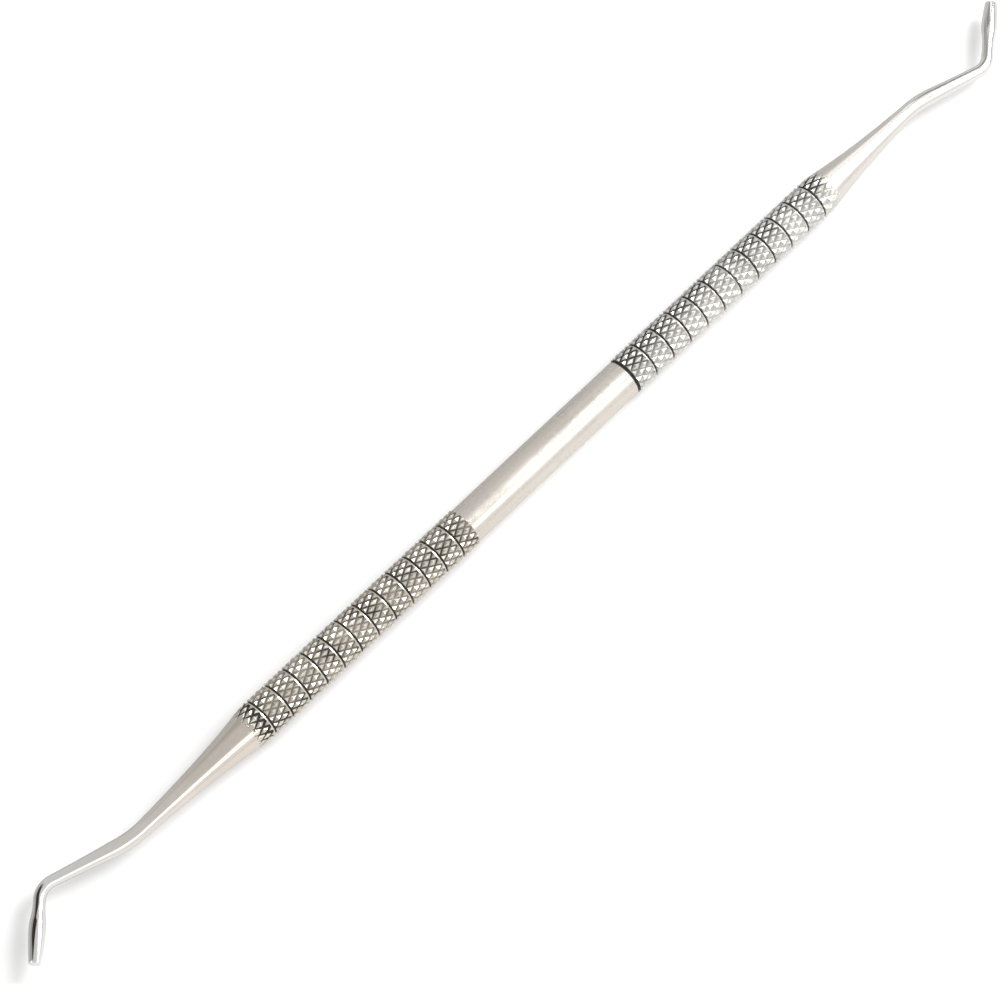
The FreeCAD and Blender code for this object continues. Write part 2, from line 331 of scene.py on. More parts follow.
    def run_out(self, band: list[Ring]) -> None:
        """Turn the last band down by the taper that leads into the cove.

        Args:
            band: its rings, changed in place.
        """
        flat = self.knurl.peak - self.runout_depth
        slope = math.tan(math.radians(self.cove_angle))
        for ring in band:
            limit = flat + slope * (self.grip_end - ring.x)
            cut = np.minimum(ring.radii, limit)
            top = min(limit, self.knurl.peak)
            span = max(top - self.knurl.valley, self.knurl.least_span)
            height = np.clip((cut - self.knurl.valley) / span, 0, 1)
            ring.relief = np.where(limit <= ring.radii, 1.0, height)
            ring.radii = cut
            ring.polish = ((ring.x - self.band_start) / self.end_band) ** 2

    def cove(self) -> list[Ring]:
        """The turned cove down to the gentle bend.

        Returns:
            Its rings.
        """
        start, stop = self.grip_end, self.bend_place - self.bend_setback
        top, bottom = self.knurl.peak - self.runout_depth, self.bend_diameter / 2
        steep = math.tan(math.radians(self.cove_angle))
        shallow = math.tan(math.radians(self.neck_angle))
        reach = (top - bottom - shallow * (stop - start)) / (steep - shallow)
        poles = [(start, top), (start + reach, top - steep * reach), (stop, bottom)]
        rings = []
        for step in range(1, COVE_RINGS + 1):
            x, radius = bezier(poles, step / COVE_RINGS)
            rings.append(plain_ring(x, 0.0, 0.0, x, radius, self.shank_zone))
        return rings

    def arc(self, start: Ring, radius: float, turn: float, count: int, zone: Zone) -> list[Ring]:
        """Rings round a bend of even thickness.

        Args:
            start: the ring that the bend leaves from.
            radius: radius of its centre line.
            turn: degrees, positive towards +Y.
            count: how many rings.
            zone: finish of the bend.

        Returns:
            The rings after start.
        """
        sign = 1 if turn > 0 else -1
        cx = start.x - sign * radius * math.sin(start.heading)
        cy = start.y + sign * radius * math.cos(start.heading)
        rings = []
        for step in range(1, count + 1):
            swept = math.radians(turn) * step / count
            heading = start.heading + swept
            rings.append(plain_ring(cx + sign * radius * math.sin(heading),
                                    cy - sign * radius * math.cos(heading), heading,
                                    start.along + radius * abs(swept), start.radii[0], zone))
        return rings

    def run(self, start: Ring, poles: list[tuple[float, float]], count: int,
            zone: Zone) -> list[Ring]:
        """Rings along a straight run whose thickness follows a curve.

        Args:
            start: the ring that the run leaves from, at the first pole.
            poles: place along the run and radius of each pole.
            count: how many rings.
            zone: finish of the run.

        Returns:
            The rings after start.
        """
        rings = []
        for step in range(1, count + 1):
            place, radius = bezier(poles, step / count)
            distance = place - poles[0][0]
            rings.append(plain_ring(start.x + distance * math.cos(start.heading),
                                    start.y + distance * math.sin(start.heading), start.heading,
                                    start.along + distance, radius, zone))
        return rings

    def tip(self, start: Ring) -> list[Ring]:
        """The throat with its waist, the nib and the bevelled working face.

        Args:
            start: the last ring of the elbow.

        Returns:
            The rings after start.
        """
        setback = self.elbow_setback
        waist = (self.waist[0] - setback, self.waist[1] / 2)
        shoulder = (self.shoulder[0] - setback, self.shoulder[1] / 2)
        middle = ((waist[0] + shoulder[0]) / 2, (waist[1] + shoulder[1]) / 2)
        rim = (self.tip_length - setback - self.face_break, self.face_diameter / 2)
        throat = [(0.0, self.elbow_diameter / 2), waist, middle]
        rings = self.run(start, throat, THROAT_RINGS, self.shank_zone)
        rings += self.run(rings[-1], [middle, shoulder, rim], NIB_RINGS, self.shank_zone)
        end = rings[-1]
        for share in FACE_SHARES:
            drop = self.face_break * share ** 2
            distance = self.face_break * share
            rings.append(plain_ring(end.x + distance * math.cos(end.heading),
                                    end.y + distance * math.sin(end.heading), end.heading,
                                    end.along + distance, end.radii[0] - drop, self.shank_zone))
        return rings

    def rings(self) -> list[Ring]:
        """Every ring of this end, from the barrel's end outwards.

        Returns:
            The rings, in the chain's own frame.
        """
        rings = self.grip() + self.cove()
        zone = self.shank_zone
        rings += self.arc(rings[-1], self.bend_radius, -self.bend_angle, BEND_RINGS, zone)
        length = self.shank_length - self.bend_setback - self.elbow_setback
        thick, thin = self.bend_diameter / 2, self.elbow_diameter / 2
        poles = [(0.0, thick), (length / 2, (thick + thin) / 2 - self.shank_hollow), (length, thin)]
        rings += self.run(rings[-1], poles, SHANK_RINGS, zone)
        elbow = rings[-1].along
        rings += self.arc(rings[-1], self.elbow_radius, self.elbow_angle, ELBOW_RINGS, zone)
        rings += self.tip(rings[-1])
        for ring in rings:
            if ring.zone is self.shank_zone:
                share = min((ring.along - self.grip_end) / (elbow - self.grip_end), 1.0)
                ring.polish = 1 + share ** self.polish_bias
        return rings

    def placed(self) -> list[Ring]:
        """The rings in the row frame, in order from low X to high X.

        Returns:
            The rings, turned half round for the left side.
        """
        rings = self.rings()
        if self.side is Side.RIGHT:
            return rings
        mirror = (-np.arange(AROUND) - FINE) % AROUND
        return [Ring(-r.x, -r.y, r.heading, -r.along, r.radii[mirror], r.zone,
                     r.relief[mirror], r.grime_and_shade[mirror], r.polish) for r in reversed(rings)]


@dataclass
class Barrel:
    """The smooth barrel between the grips."""

    left_end: float
    right_end: float
    diameter: float = 5.14
    edge: float = 0.05

    def rings(self) -> list[Ring]:
        """Its rings, with broken edges.

        Returns:
            The rings from low X to high X.
        """
        radius = self.diameter / 2
        start, stop = -self.left_end, self.right_end
        places = [(start, radius - self.edge), (start + self.edge, radius)]
        places += [(start + (stop - start) * share, radius) for share in (0.25, 0.5, 0.75)]
        places += [(stop - self.edge, radius), (stop, radius - self.edge)]
        return [plain_ring(x, 0.0, 0.0, x, r, Zone.BARREL) for x, r in places]


class NodeTree:
    """Short ways to lay out a shader node tree."""

    def __init__(self, tree: bpy.types.NodeTree) -> None:
        """Work on this tree, which starts empty."""
        self.tree = tree
        tree.nodes.clear()

    def add(self, kind: str, **settings: object) -> bpy.types.Node:
        """A new node with some of its settings made.

        Args:
            kind: Blender's name of the node type.
            settings: attributes to set on it.

        Returns:
            The node.
        """
        node = self.tree.nodes.new(kind)
        for name, value in settings.items():
            setattr(node, name, value)
        return node

    def link(self, source: bpy.types.NodeSocket, target: bpy.types.NodeSocket) -> None:
        """Join two sockets."""
        self.tree.links.new(source, target)

    def feed(self, target: bpy.types.NodeSocket, value: object) -> None:
        """Give an input a socket to follow, or a number to hold."""
        if isinstance(value, bpy.types.NodeSocket):
            self.link(value, target)
        else:
            target.default_value = value

    def math(self, operation: str, a: object, b: object = 0.0,
             clamp: bool = False) -> bpy.types.NodeSocket:
        """One sum of two values.

        Args:
            operation: Blender's name of it.
            a: first value or socket.
            b: second value or socket.
            clamp: keep the result from 0 to 1.

        Returns:
            The result's socket.
        """
        node = self.add("ShaderNodeMath", operation=operation, use_clamp=clamp)
        self.feed(node.inputs[0], a)
        self.feed(node.inputs[1], b)
        return node.outputs[0]

    def spread(self, value: object, low: float, high: float, to_low: float, to_high: float,
               smooth: bool = False) -> bpy.types.NodeSocket:
        """Stretch a range of values onto another.

        Args:
            value: the socket to read.
            low: start of its range.
            high: end of its range.
            to_low: what low becomes.
            to_high: what high becomes.
            smooth: ease in and out.

        Returns:
            The result's socket.
        """
        shape = "SMOOTHSTEP" if smooth else "LINEAR"
        node = self.add("ShaderNodeMapRange", interpolation_type=shape)
        for name, number in (("Value", value), ("From Min", low), ("From Max", high),
                             ("To Min", to_low), ("To Max", to_high)):
            self.feed(node.inputs[name], number)
        return node.outputs["Result"]

    def noise(self, vector: object, scale: float, detail: float,
              rough: float = 0.5) -> bpy.types.NodeSocket:
        """Plain noise at a scale.

        Args:
            vector: where to read it.
            scale: how fine it is.
            detail: how many octaves.
            rough: weight of the finer octaves.

        Returns:
            The noise's value.
        """
        node = self.add("ShaderNodeTexNoise")
        self.feed(node.inputs["Vector"], vector)
        node.inputs["Scale"].default_value = scale
        node.inputs["Detail"].default_value = detail
        node.inputs["Roughness"].default_value = rough
        return node.outputs["Fac"]

    def stretch(self, vector: object, x: float, y: float, z: float) -> bpy.types.NodeSocket:
        """A place scaled along each axis."""
        node = self.add("ShaderNodeMapping")
        self.feed(node.inputs["Vector"], vector)
        node.inputs["Scale"].default_value = (x, y, z)
        return node.outputs["Vector"]

    def tint(self, share: object, low: object, high: object) -> bpy.types.NodeSocket:
        """A colour between two others.

        Args:
            share: 0 for the first, 1 for the second.
            low: first colour or socket.
            high: second colour or socket.

        Returns:
            The mixed colour's socket.
        """
        node = self.add("ShaderNodeMix", data_type="RGBA")
        self.feed(node.inputs[0], share)
        self.feed(node.inputs[6], low)
        self.feed(node.inputs[7], high)
        return node.outputs[2]


class Effects:
    """The effects that several finishes share, each a node group that is built once."""

    def __init__(self) -> None:
        """Build the groups."""
        self.grain = self.make_grain()
        self.grime_and_shade = self.make_grime_and_shade()
        self.smudge = self.make_smudge()

    @staticmethod
    def new_group(name: str, inputs: list[tuple[str, str, object]],
                  outputs: list[tuple[str, str]]) -> tuple[bpy.types.NodeTree, NodeTree]:
        """An empty shader node group with its sockets.

        Args:
            name: its name.
            inputs: name, type and default of each input.
            outputs: name and type of each output.

        Returns:
            The group and a layout helper for it.
        """
        group = bpy.data.node_groups.new(name, "ShaderNodeTree")
        for label, kind, default in inputs:
            socket = group.interface.new_socket(name=label, in_out="INPUT", socket_type=kind)
            if default is not None:
                socket.default_value = default
        for label, kind in outputs:
            group.interface.new_socket(name=label, in_out="OUTPUT", socket_type=kind)
        return group, NodeTree(group)

    def make_grain(self) -> bpy.types.NodeTree:
        """Fine lines left along the steel by lengthwise polishing.

        Returns:
            The group, with outputs Lines and Height.
        """
        group, nodes = self.new_group(
            "lengthwise_grain",
            [("Place", "NodeSocketVector", None), ("Depth", "NodeSocketFloat", 1.0)],
            [("Lines", "NodeSocketFloat"), ("Height", "NodeSocketFloat")])
        source, sink = nodes.add("NodeGroupInput"), nodes.add("NodeGroupOutput")
        place = source.outputs["Place"]
        fine = nodes.noise(nodes.stretch(place, 90.0, 9000.0, 9000.0), 1.0, 3.0, 0.6)
        broad = nodes.noise(nodes.stretch(place, 40.0, 1600.0, 1600.0), 1.0, 2.0, 0.5)
        lines = nodes.math("ADD", nodes.math("MULTIPLY", fine, 0.6),
                           nodes.math("MULTIPLY", broad, 0.4))
        nodes.link(lines, sink.inputs["Lines"])
        nodes.link(nodes.math("MULTIPLY", lines, source.outputs["Depth"]), sink.inputs["Height"])
        return group

    def make_grime_and_shade(self) -> bpy.types.NodeTree:
        """Darkening low in the relief: grime in the knurl's valleys, painted shade in the grooves.

        Returns:
            The group, with output Mask.
        """
        group, nodes = self.new_group(
            "valley_grime_and_shade",
            [("Place", "NodeSocketVector", None), ("Relief", "NodeSocketFloat", 1.0),
             ("Amount", "NodeSocketFloat", 0.5), ("Reach", "NodeSocketFloat", 0.5)],
            [("Mask", "NodeSocketFloat")])
        source, sink = nodes.add("NodeGroupInput"), nodes.add("NodeGroupOutput")
        cloud = nodes.noise(source.outputs["Place"], 900.0, 3.0, 0.6)
        ragged = nodes.spread(cloud, 0.3, 0.7, -0.14, 0.14)
        edge = nodes.math("ADD", source.outputs["Reach"], ragged)
        low = nodes.spread(source.outputs["Relief"], 0.0, edge, 1.0, 0.0, smooth=True)
        patch = nodes.spread(nodes.noise(source.outputs["Place"], 260.0, 2.0),
                             0.32, 0.66, 0.55, 1.0)
        held = nodes.math("MULTIPLY", low, source.outputs["Amount"])
        nodes.link(nodes.math("MULTIPLY", held, patch, clamp=True), sink.inputs["Mask"])
        return group

    def make_smudge(self) -> bpy.types.NodeTree:
        """Faint handling marks that change the gloss in soft patches.

        Returns:
            The group, with output Mask.
        """
        group, nodes = self.new_group(
            "handling_marks",
            [("Place", "NodeSocketVector", None)], [("Mask", "NodeSocketFloat")])
        source, sink = nodes.add("NodeGroupInput"), nodes.add("NodeGroupOutput")
        wide = nodes.noise(source.outputs["Place"], 120.0, 3.0, 0.55)
        small = nodes.noise(source.outputs["Place"], 1400.0, 2.0, 0.5)
        both = nodes.math("ADD", nodes.math("MULTIPLY", wide, 0.7),
                          nodes.math("MULTIPLY", small, 0.3))
        nodes.link(nodes.spread(both, 0.38, 0.64, 0.0, 1.0, smooth=True), sink.inputs["Mask"])
        return group


@dataclass(frozen=True)
class Surface:
    """Colour and gloss of bare steel."""

    colour: tuple[float, float, float]
    shade: tuple[float, float, float]
    roughness: float


@dataclass(frozen=True)
class SteelFinish:
    """One finish of the stainless steel, which may change along the instrument."""

    name: str
    zone: Zone
    near: Surface
    far: Surface
    rough_change: float
    grain: float
    # Darkening low in the relief: grime in the knurl's valleys, painted shade in the grooves.
    grime_and_shade_amount: float = 0.0
    grime_and_shade_reach: float = 0.5
    grime_and_shade_colour: tuple[float, float, float] = (0.022, 0.020, 0.018)
    polish_start: float = 0.0

    def make(self, effects: Effects) -> bpy.types.Material:
        """Build the material.

        Args:
            effects: the shared node groups.

        Returns:
            The material.
        """
        material = bpy.data.materials.new(self.name)
        material.use_nodes = True
        nodes = NodeTree(material.node_tree)
        output = nodes.add("ShaderNodeOutputMaterial")
        steel = nodes.add("ShaderNodeBsdfPrincipled")
        nodes.link(steel.outputs["BSDF"], output.inputs["Surface"])
        place = nodes.add("ShaderNodeAttribute", attribute_name="unbent").outputs["Vector"]
        grain = nodes.add("ShaderNodeGroup", node_tree=effects.grain)
        marks = nodes.add("ShaderNodeGroup", node_tree=effects.smudge)
        nodes.link(place, grain.inputs["Place"])
        nodes.link(place, marks.inputs["Place"])
        grain.inputs["Depth"].default_value = self.grain
        lines, smudge = grain.outputs["Lines"], marks.outputs["Mask"]
        share = nodes.math("ADD", nodes.spread(lines, 0.35, 0.65, 0.0, 0.6),
                           nodes.math("MULTIPLY", smudge, 0.4), clamp=True)
        worked = nodes.add("ShaderNodeAttribute", attribute_name="polish").outputs["Fac"]
        polish = nodes.spread(worked, self.polish_start, self.polish_start + 1, 0.0, 1.0)
        shade = nodes.tint(polish, (*self.near.shade, 1.0), (*self.far.shade, 1.0))
        bright = nodes.tint(polish, (*self.near.colour, 1.0), (*self.far.colour, 1.0))
        colour = nodes.tint(share, shade, bright)
        base = nodes.spread(polish, 0.0, 1.0, self.near.roughness, self.far.roughness)
        gloss = nodes.math("ADD", base, nodes.spread(lines, 0.35, 0.65, -0.02, 0.02))
        gloss = nodes.math("ADD", gloss, nodes.math("MULTIPLY", smudge, self.rough_change))
        metallic: object = 1.0
        # Grime in the knurl's valleys and painted shade in the grooves, from the darkening attribute.
        if self.grime_and_shade_amount > 0:
            relief = nodes.add("ShaderNodeAttribute", attribute_name="relief").outputs["Fac"]
            zone = nodes.add("ShaderNodeAttribute", attribute_name="grime_and_shade").outputs["Fac"]
            grime_and_shade = nodes.add("ShaderNodeGroup", node_tree=effects.grime_and_shade)
            nodes.link(place, grime_and_shade.inputs["Place"])
            nodes.link(relief, grime_and_shade.inputs["Relief"])
            nodes.link(nodes.math("MULTIPLY", zone, self.grime_and_shade_amount), grime_and_shade.inputs["Amount"])
            grime_and_shade.inputs["Reach"].default_value = self.grime_and_shade_reach
            mask = grime_and_shade.outputs["Mask"]
            colour = nodes.tint(mask, colour, (*self.grime_and_shade_colour, 1.0))
            gloss = nodes.math("ADD", gloss, nodes.math("MULTIPLY", mask, 0.35), clamp=True)
            metallic = nodes.math("SUBTRACT", 1.0, nodes.math("MULTIPLY", mask, 0.8))
        nodes.link(colour, steel.inputs["Base Color"])
        nodes.link(gloss, steel.inputs["Roughness"])
        nodes.feed(steel.inputs["Metallic"], metallic)
        bump = nodes.add("ShaderNodeBump")
        bump.inputs["Strength"].default_value = 0.25
        bump.inputs["Distance"].default_value = 0.00002
        nodes.link(grain.outputs["Height"], bump.inputs["Height"])
        nodes.link(bump.outputs["Normal"], steel.inputs["Normal"])
        return material


SATIN = Surface((0.82, 0.77, 0.70), (0.73, 0.68, 0.615), 0.25)
KNURL_WARM = Surface((0.84, 0.79, 0.70), (0.68, 0.63, 0.54), 0.22)
KNURL_BRIGHT = Surface((0.90, 0.875, 0.84), (0.76, 0.74, 0.70), 0.22)
TURNED_WARM = Surface((0.84, 0.765, 0.68), (0.76, 0.685, 0.60), 0.18)
TURNED = Surface((0.84, 0.80, 0.745), (0.78, 0.735, 0.68), 0.22)
MIRROR = Surface((0.93, 0.92, 0.90), (0.87, 0.86, 0.84), 0.10)

FINISHES = (
    SteelFinish("satin_steel_barrel", Zone.BARREL, SATIN, SATIN, 0.05, 0.8),
    SteelFinish("knurled_steel_warm", Zone.GRIP_LEFT, KNURL_WARM, TURNED_WARM, 0.07, 0.3,
                grime_and_shade_amount=1.0, grime_and_shade_reach=0.60),
    SteelFinish("knurled_steel_bright", Zone.GRIP_RIGHT, KNURL_BRIGHT, TURNED, 0.07, 0.3,
                grime_and_shade_amount=1.0, grime_and_shade_reach=0.56),
    SteelFinish("polished_steel_left", Zone.SHANK_LEFT, TURNED_WARM, MIRROR, 0.03, 0.3,
                polish_start=1.0),
    SteelFinish("polished_steel_right", Zone.SHANK_RIGHT, TURNED, MIRROR, 0.03, 0.3,
                polish_start=1.0),
)


@dataclass
class Plugger:
    """The whole instrument: its parts in order and the skin that they make together."""

    chains: dict[Side, Chain]
    barrel: Barrel
    axis_height: float
    sharp_angle: float = 24.0

    def rings(self) -> list[Ring]:
        """Every ring from the left working face to the right one."""
        left, right = self.chains[Side.LEFT], self.chains[Side.RIGHT]
        return left.placed() + self.barrel.rings() + right.placed()

    def points(self, ring: Ring) -> np.ndarray:
        """Corners of one ring in metres, in the row frame."""
        side = ring.radii * np.sin(THETA)
        x = ring.x - math.sin(ring.heading) * side
        y = ring.y + math.cos(ring.heading) * side
        z = self.axis_height - ring.radii * np.cos(THETA)
        return np.stack([x, y, z], axis=1) * MM

    def unbent(self, ring: Ring) -> np.ndarray:
        """The same corners as if the bar were straight, which is where the grain is read."""
        return np.stack([np.full(AROUND, ring.along), ring.radii * np.sin(THETA),
                         ring.radii * np.cos(THETA)], axis=1) * MM

    @staticmethod
    def strip(first: int, low: Ring, high: Ring) -> list[tuple[int, ...]]:
        """Faces between two neighbouring rings.

        Args:
            first: index of the lower ring's first corner.
            low: the lower ring.
            high: the higher ring.

        Returns:
            Quads on plain steel, and on the knurl triangles that fold along its valleys.
        """
        faces: list[tuple[int, ...]] = []
        plain = np.ptp(low.radii) < 1e-9 and np.ptp(high.radii) < 1e-9
        for column in range(AROUND):
            after = (column + 1) % AROUND
            a, b = first + column, first + after
            c, d = b + AROUND, a + AROUND
            if plain:
                faces.append((a, d, c, b))
                continue
            rising = low.radii[column] + high.radii[after]
            falling = low.radii[after] + high.radii[column]
            if falling < rising:
                faces += [(a, d, b), (b, d, c)]
            else:
                faces += [(a, c, b), (a, d, c)]
        return faces

    def build(self) -> bpy.types.Object:
        """Make the skin's mesh with its attributes.

        Returns:
            The object, with no material yet.
        """
        rings = self.rings()
        points = np.concatenate([self.points(ring) for ring in rings])
        faces: list[tuple[int, ...]] = []
        zones: list[int] = []
        for number, (low, high) in enumerate(zip(rings, rings[1:])):
            added = self.strip(number * AROUND, low, high)
            zone = high.zone if low.zone is Zone.BARREL else low.zone
            faces += added
            zones += [zone.value] * len(added)
        last = (len(rings) - 1) * AROUND
        faces += [tuple(range(AROUND)), tuple(last + column for column in reversed(range(AROUND)))]
        zones += [Zone.SHANK_LEFT.value, Zone.SHANK_RIGHT.value]
        mesh = bpy.data.meshes.new("plugger_steel")
        mesh.from_pydata(points.tolist(), [], faces)
        mesh.polygons.foreach_set("material_index", zones)
        mesh.polygons.foreach_set("use_smooth", [True] * len(faces))
        unbent = np.concatenate([self.unbent(ring) for ring in rings])
        self.attribute(mesh, "unbent", "FLOAT_VECTOR", unbent)
        self.attribute(mesh, "relief", "FLOAT", np.concatenate([r.relief for r in rings]))
        # Per-corner darkening: grime in the knurl's valleys, painted shade in the grooves.
        self.attribute(mesh, "grime_and_shade", "FLOAT", np.concatenate([r.grime_and_shade for r in rings]))
        self.attribute(mesh, "polish", "FLOAT", np.repeat([r.polish for r in rings], AROUND))
        mesh.set_sharp_from_angle(angle=math.radians(self.sharp_angle))
        mesh.validate()
        mesh.update()
        piece = bpy.data.objects.new("plugger_steel", mesh)
        bpy.context.scene.collection.objects.link(piece)
        return piece

    @staticmethod
    def attribute(mesh: bpy.types.Mesh, name: str, kind: str, values: np.ndarray) -> None:
        """Store one value per corner of the skin."""
        layer = mesh.attributes.new(name, kind, "POINT")
        channel = "vector" if kind == "FLOAT_VECTOR" else "value"
        layer.data.foreach_set(channel, values.astype(np.float32).ravel())

    def dress(self, piece: bpy.types.Object, effects: Effects) -> None:
        """Give the skin its finishes, in the order of its zones."""
        for finish in sorted(FINISHES, key=lambda item: item.zone.value):
            piece.data.materials.append(finish.make(effects))


@dataclass(frozen=True)
class Softbox:
    """One area lamp that faces a point of the instrument."""

    name: str
    azimuth: float
    elevation: float
    distance: float
    width: float
    height: float
    radiance: float
    shift: tuple[float, float] = (0.0, 0.0)
    colour: tuple[float, float, float] = (1.0, 1.0, 1.0)

    def make(self, aim: Vector) -> bpy.types.Object:
        """Hang the lamp.

        Args:
            aim: the point it faces, in metres.

        Returns:
            The lamp's object.
        """
        data = bpy.data.lights.new(self.name, "AREA")
        data.shape, data.size, data.size_y = "RECTANGLE", self.width, self.height
        data.energy, data.color = self.radiance * math.pi * self.width * self.height, self.colour
        lamp = bpy.data.objects.new(self.name, data)
        a, e = math.radians(self.azimuth), math.radians(self.elevation)
        out = Vector((math.cos(e) * math.cos(a), math.cos(e) * math.sin(a), math.sin(e)))
        lamp.location = aim + out * self.distance + Vector((*self.shift, 0.0))
        lamp.rotation_euler = (-out).to_track_quat("-Z", "Y").to_euler()
        bpy.context.scene.collection.objects.link(lamp)
        return lamp


@dataclass(frozen=True)
class Card:
    """One small card beside a nib, seen only in the mirror of the polished steel."""

    name: str
    place: tuple[float, float, float]
    aim: tuple[float, float, float]
    half: float
    dark: tuple[float, float, float]
    light: tuple[float, float, float]

    def make(self) -> bpy.types.Object:
        """Stand the card up, facing its nib.

        Returns:
            The card.
        """
        mesh = square_mesh(self.name, self.half)
        card = bpy.data.objects.new(self.name, mesh)
        bpy.context.scene.collection.objects.link(card)
        card.location = self.place
        facing = Vector(self.aim) - Vector(self.place)
        card.rotation_euler = facing.to_track_quat("Z", "Y").to_euler()
        card.visible_camera = card.visible_shadow = card.visible_diffuse = False
        material = bpy.data.materials.new(self.name)
        material.use_nodes = True
        nodes = NodeTree(material.node_tree)
        output = nodes.add("ShaderNodeOutputMaterial")
        cloth = nodes.add("ShaderNodeBsdfDiffuse")
        weave = nodes.noise(nodes.add("ShaderNodeTexCoord").outputs["Object"], 30.0, 2.0)
        nodes.link(nodes.tint(weave, (*self.dark, 1.0), (*self.light, 1.0)), cloth.inputs["Color"])
        nodes.link(cloth.outputs["BSDF"], output.inputs["Surface"])
        mesh.materials.append(material)
        return card


def square_mesh(name: str, half: float) -> bpy.types.Mesh:
    """A level square that faces up.

    Args:
        name: its name.
        half: half of its side, in metres.

    Returns:
        The mesh.
    """
    mesh = bpy.data.meshes.new(name)
    mesh.from_pydata([(-half, -half, 0), (half, -half, 0), (half, half, 0), (-half, half, 0)],
                     [], [(0, 1, 2, 3)])
    return mesh


